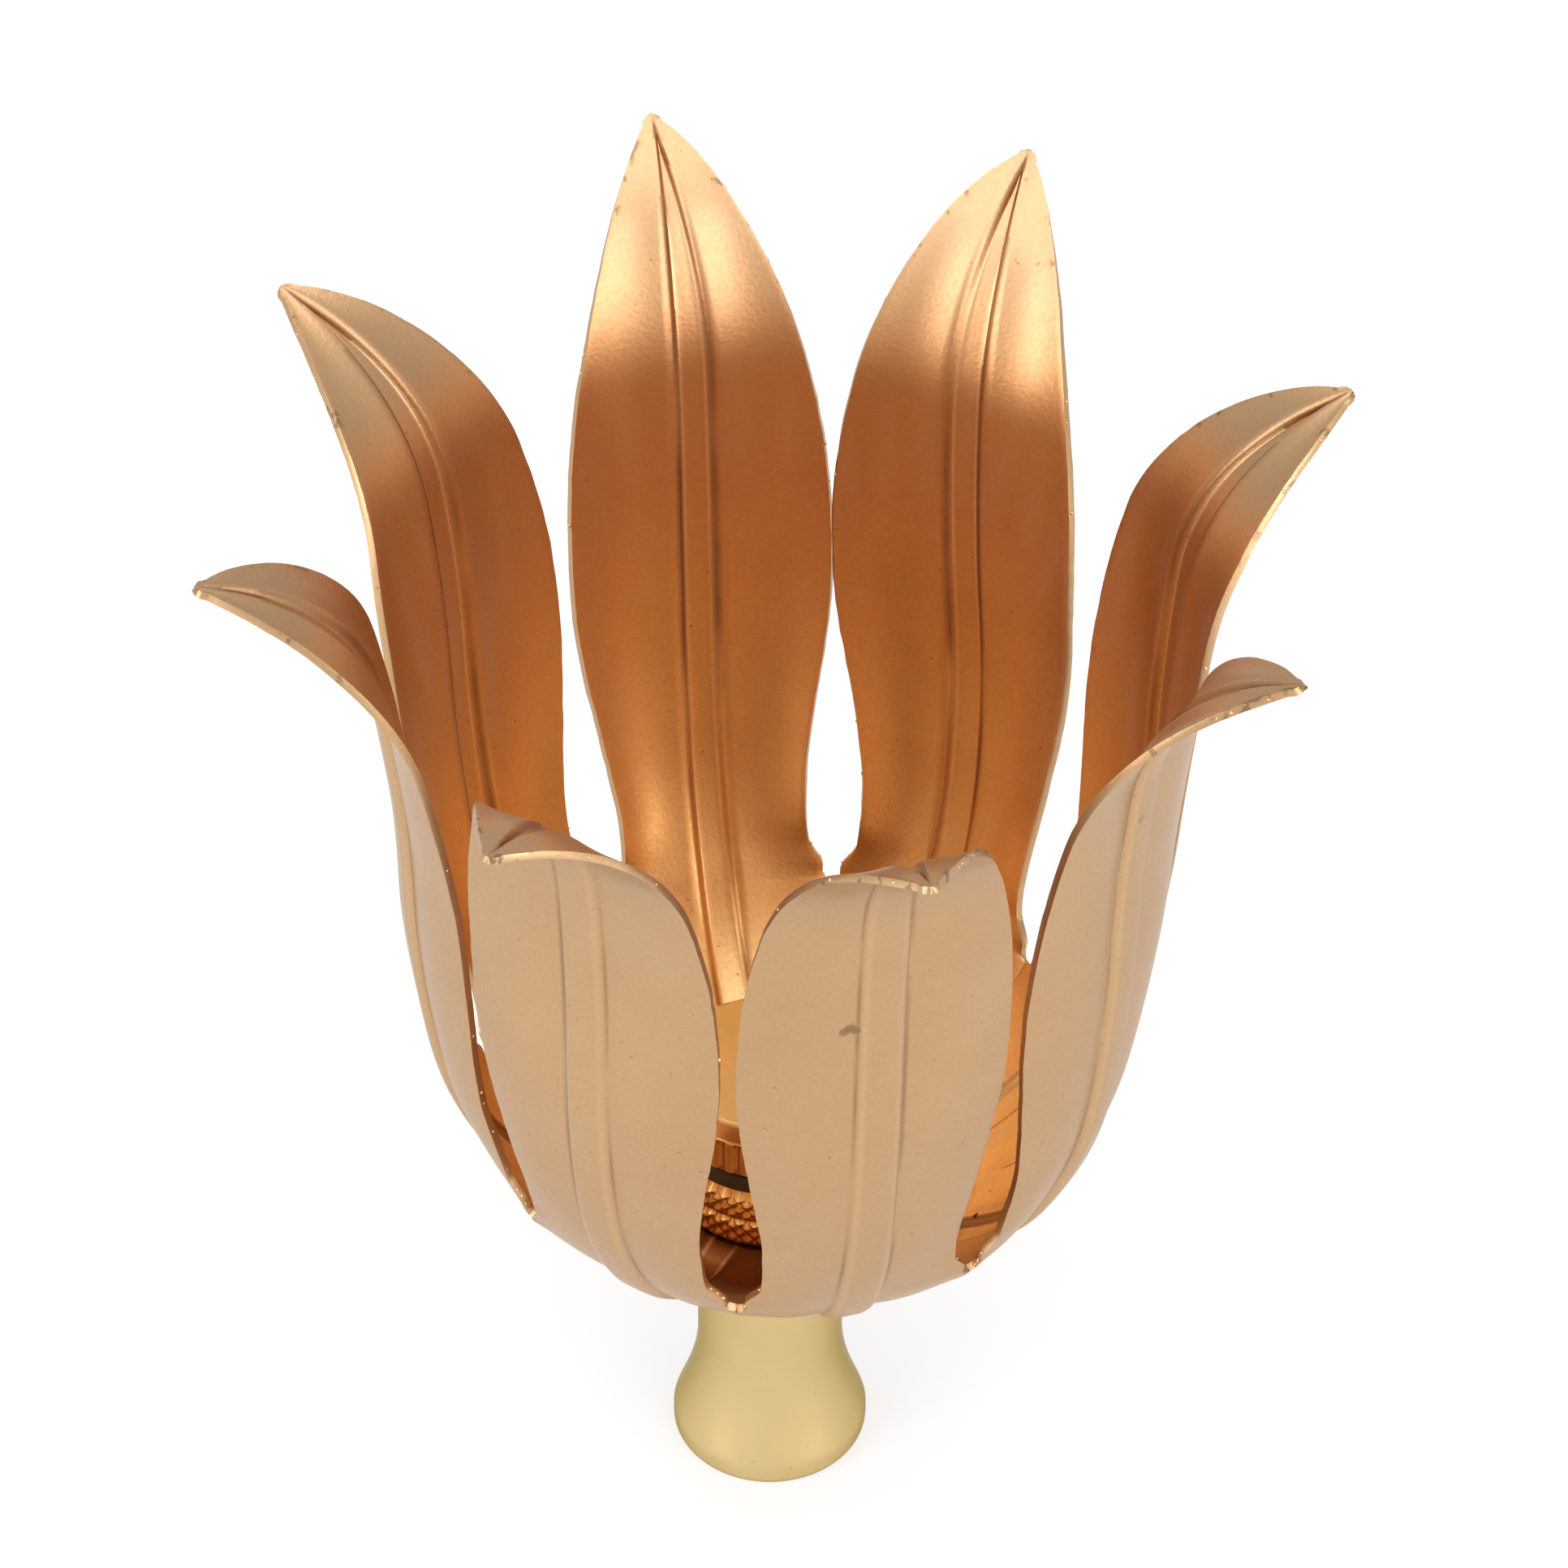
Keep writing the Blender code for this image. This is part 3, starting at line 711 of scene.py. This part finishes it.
def knurled_collar():
    """Turned blank whose bands are cut with crossing spiral grooves."""
    half = COLLAR_HEIGHT / 2
    profile = [(NUT_BORE, COLLAR_HEIGHT), (NUT_BORE, 0.0), (COLLAR_RADIUS - KNURL_DEPTH, 0.0)]
    for low, high in ((BAND_FOOT, half - GROOVE_HALF), (half + GROOVE_HALF, COLLAR_HEIGHT - BAND_TOP)):
        band = [low + (high - low) * step / BAND_STEPS for step in range(BAND_STEPS + 1)]
        profile += [(COLLAR_RADIUS, height) for height in band]
        profile.append((COLLAR_RADIUS - KNURL_DEPTH, high + BAND_END))
    profile[-1] = (COLLAR_RADIUS - 2 * KNURL_DEPTH, COLLAR_HEIGHT)
    profile.append((NUT_BORE, COLLAR_HEIGHT))
    bm = turned(profile, KNURL_TEETH * STEPS_PER_TOOTH)
    pitch = 2 * math.pi * COLLAR_RADIUS / KNURL_TEETH
    crest = bm.verts.layers.float.new("crest")
    for vert in bm.verts:
        if math.hypot(vert.co.x, vert.co.y) > COLLAR_RADIUS - TURNED_FACE:
            turn = math.atan2(vert.co.y, vert.co.x) * KNURL_TEETH / (2 * math.pi)
            climb = vert.co.z / pitch
            grooves = [abs((turn + way * climb) % 1.0 - 0.5) * 2 for way in (1, -1)]
            cut = KNURL_DEPTH * (1 - min(min(grooves) * KNURL_SHARPNESS, 1.0))
            vert.co.xy *= 1 - cut / COLLAR_RADIUS
            rims = min(abs(vert.co.z - half + GROOVE_HALF), abs(vert.co.z - COLLAR_HEIGHT + BAND_TOP))
            # Painted highlight on the band rims, weaker in the knurl's grooves.
            vert[crest] = ease(1 - rims / CREST_HIGHLIGHT_REACH) * (1 - 0.7 * cut / KNURL_DEPTH)
    bmesh.ops.translate(bm, verts=bm.verts, vec=(0, 0, COLLAR_BASE))
    finish = nut_finish("collar_brass", SHADED_COLLAR_LIGHT, SHADED_COLLAR_DARK, 0.24, COLLAR_BASE + COLLAR_HEIGHT,
                        COLLAR_BASE)
    return make_piece("diamond_collar", bm, finish, ["knurled_collar"], 30.0)


knurled_collar()


# Washer: a flat ring of metal, painted matt black and now dusty, that is clamped on the spigot
# between the collar and the cap nut.
WASHER_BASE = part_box("washer")[0][2]
WASHER_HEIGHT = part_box("washer")[1][2] - WASHER_BASE
WASHER_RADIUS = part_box("washer")[1][0]
WASHER_ROUND = 0.25 * MM
CORNER_STEPS = 5
WASHER_TURN_STEPS = 128
WASHER_BLACK = (0.022, 0.012, 0.007)
WASHER_DUST = (0.06, 0.032, 0.016)


def washer():
    """Flat ring with its outer corners rounded."""
    corner = WASHER_RADIUS - WASHER_ROUND
    profile = [(NUT_BORE, WASHER_HEIGHT), (NUT_BORE, 0.0)]
    profile += arc((corner, WASHER_ROUND), WASHER_ROUND, -90.0, 0.0, CORNER_STEPS)
    profile += arc((corner, WASHER_HEIGHT - WASHER_ROUND), WASHER_ROUND, 0.0, 90.0, CORNER_STEPS)
    profile.append((NUT_BORE, WASHER_HEIGHT))
    bm = turned(profile, WASHER_TURN_STEPS)
    bmesh.ops.translate(bm, verts=bm.verts, vec=(0, 0, WASHER_BASE))
    black = Finish("washer_black", 0.5, 0.0)
    black.shader.inputs["Specular IOR Level"].default_value = 0.25
    dust = black.between(black.speckle(1.2 * MM), 0.45, 0.75)
    black.feed("Base Color", black.blend(dust, WASHER_BLACK, WASHER_DUST))
    black.feed("Roughness", 0.42 + dust * 0.25)
    return make_piece("black_washer", bm, black.material, ["washer"])


washer()


# Cap nut: a blind nut of yellow brass, turned from bar, that closes the spigot's end. It has upright
# reeds in its wall, a chamfer and a flat top, and painted shade and reflection of the cup make its wall
# red-brown.
NUT_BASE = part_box("reeded_nut")[0][2]
NUT_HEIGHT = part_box("reeded_nut")[1][2] - NUT_BASE
NUT_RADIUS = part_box("reeded_nut")[1][0]
NUT_CHAMFER = 1.2 * MM
NUT_ROOF = 1.6 * MM
REEDS = 40
REED_DEPTH = 0.3 * MM
REED_FOOT = 0.3 * MM
REED_TOP = 0.2 * MM
REED_STEPS = 6
SHOULDER_ROUND = (0.2 * MM, 0.15 * MM)
SMALL_ROUND = 0.06 * MM
TOP_ROUND = 0.1 * MM
NUT_LIGHT = (0.60, 0.46, 0.22)
NUT_DARK = (0.52, 0.38, 0.15)
# Painted shade and reflection on the cap nut's wall, from just under its top
SHADE_ABOVE = 0.02 * MM
SHADE_BELOW = 0.3 * MM


def reeded_nut():
    """Turned blank with upright reeds cut in its wall."""
    shoulder = NUT_HEIGHT - NUT_CHAMFER
    profile = [(0.0, NUT_HEIGHT - NUT_ROOF), (NUT_BORE, NUT_HEIGHT - NUT_ROOF), (NUT_BORE, 0.0)]
    profile.append((NUT_RADIUS - REED_DEPTH, 0.0))
    reeded = shoulder - REED_FOOT - REED_TOP
    profile += [(NUT_RADIUS, REED_FOOT + reeded * step / REED_STEPS) for step in range(REED_STEPS + 1)]
    profile.append((NUT_RADIUS - SMALL_ROUND, shoulder))
    profile.append((NUT_RADIUS - SHOULDER_ROUND[0], shoulder + SHOULDER_ROUND[1]))
    profile.append((NUT_RADIUS - NUT_CHAMFER, NUT_HEIGHT - SMALL_ROUND))
    profile.append((NUT_RADIUS - NUT_CHAMFER - TOP_ROUND, NUT_HEIGHT))
    profile.append((0.0, NUT_HEIGHT))
    bm = turned(profile, REEDS * STEPS_PER_TOOTH)
    crest = bm.verts.layers.float.new("crest")
    for vert in bm.verts:
        # Painted highlight on the shoulder's edge.
        vert[crest] = float(abs(vert.co.z - shoulder) < TURNED_FACE)
        if math.hypot(vert.co.x, vert.co.y) > NUT_RADIUS - TURNED_FACE:
            turn = math.atan2(vert.co.y, vert.co.x) * REEDS / (2 * math.pi)
            cut = REED_DEPTH * (1 - abs(math.sin(math.pi * turn)))
            vert.co.xy *= 1 - cut / NUT_RADIUS
    bmesh.ops.translate(bm, verts=bm.verts, vec=(0, 0, NUT_BASE))
    top = NUT_BASE + NUT_HEIGHT
    finish = nut_finish("nut_brass", NUT_LIGHT, NUT_DARK, 0.26, top - SHADE_ABOVE, top - SHADE_BELOW)
    return make_piece("reeded_cap", bm, finish, ["reeded_nut"], 30.0)


reeded_nut()


# Studio: a pale floor, soft light all round, a large soft light above, one at each side in front, and
# two small ones just above the table that give the neck its upright streaks of light.
FLOOR_SIZE = 1.6
FLOOR_GLOW = 0.68
FLOOR_GREY = (0.28, 0.28, 0.28, 1.0)
WHITE = (1.0, 1.0, 1.0, 1.0)
SKY_GLOW = 0.6
LIGHT_AIM = (0, 0, 0.05)
LOW_AIM = (0, 0, 0.02)

# Each light: place, aim, width and height in metres, and power in watts
LIGHTS = {
    "left_light": ((-0.52, -0.46, 0.45), LIGHT_AIM, 0.35, 0.8, 3.0),
    "right_light": ((0.38, -0.62, 0.45), LIGHT_AIM, 0.5, 0.8, 3.6),
    "top_light": ((0.0, 0.05, 0.8), LIGHT_AIM, 0.8, 0.8, 3.8),
    "left_low_light": ((-0.30, -0.22, 0.075), LOW_AIM, 0.03, 0.14, 0.24),
    "right_low_light": ((0.30, -0.22, 0.075), LOW_AIM, 0.03, 0.14, 0.24),
}


def studio_floor():
    """Plain pale floor."""
    bm = bmesh.new()
    bmesh.ops.create_grid(bm, x_segments=1, y_segments=1, size=FLOOR_SIZE / 2)
    mesh = bpy.data.meshes.new("floor")
    bm.to_mesh(mesh)
    bm.free()
    pale = Finish("pale_floor", 0.9, 0.0)
    pale.shader.inputs["Base Color"].default_value = FLOOR_GREY
    pale.shader.inputs["Emission Color"].default_value = WHITE
    pale.shader.inputs["Emission Strength"].default_value = FLOOR_GLOW
    mesh.materials.append(pale.material)
    floor = bpy.data.objects.new("floor", mesh)
    bpy.context.scene.collection.objects.link(floor)


def soft_light(name, place, aim, width, height, power):
    """Flat light at a place, turned to its aim."""
    light = bpy.data.lights.new(name, "AREA")
    light.shape = "RECTANGLE"
    light.size = width
    light.size_y = height
    light.energy = power
    lamp = bpy.data.objects.new(name, light)
    lamp.location = place
    lamp.rotation_euler = (Vector(aim) - Vector(place)).to_track_quat("-Z", "Y").to_euler()
    bpy.context.scene.collection.objects.link(lamp)


def studio_sky():
    """Even white surroundings."""
    world = bpy.data.worlds.new("surroundings")
    world.use_nodes = True
    world.node_tree.nodes["Background"].inputs["Color"].default_value = WHITE
    world.node_tree.nodes["Background"].inputs["Strength"].default_value = SKY_GLOW
    bpy.context.scene.world = world


studio_floor()
studio_sky()
for lamp_name, lamp_settings in LIGHTS.items():
    soft_light(lamp_name, *lamp_settings)
bpy.context.scene.view_settings.view_transform = "Standard"


# Camera: the photograph's viewing angle, from in front and above, with the aim, distance and scale
# that fit the object's outline there.
VIEW_DOWN = 43.59
VIEW_ROLL = 0.25
VIEW_DISTANCE = 0.6835
VIEW_AIM = (0.00096, 0.0, 0.0729)
SENSOR = 36.0
PIXELS_PER_METRE = 15820.0
IMAGE_WIDTH = 1932


def camera():
    """Camera that looks down at the aim point."""
    down = math.radians(VIEW_DOWN)
    ahead = Vector((0, math.cos(down), -math.sin(down)))
    data = bpy.data.cameras.new("camera")
    data.sensor_width = SENSOR
    data.lens = PIXELS_PER_METRE * VIEW_DISTANCE * SENSOR / IMAGE_WIDTH
    data.clip_start = 0.01
    view = bpy.data.objects.new("camera", data)
    turn = ahead.to_track_quat("-Z", "Y").to_matrix().to_4x4()
    roll = Matrix.Rotation(math.radians(VIEW_ROLL), 4, "Z")
    view.matrix_world = Matrix.Translation(Vector(VIEW_AIM) - ahead * VIEW_DISTANCE) @ turn @ roll
    bpy.context.scene.collection.objects.link(view)
    bpy.context.scene.camera = view


camera()
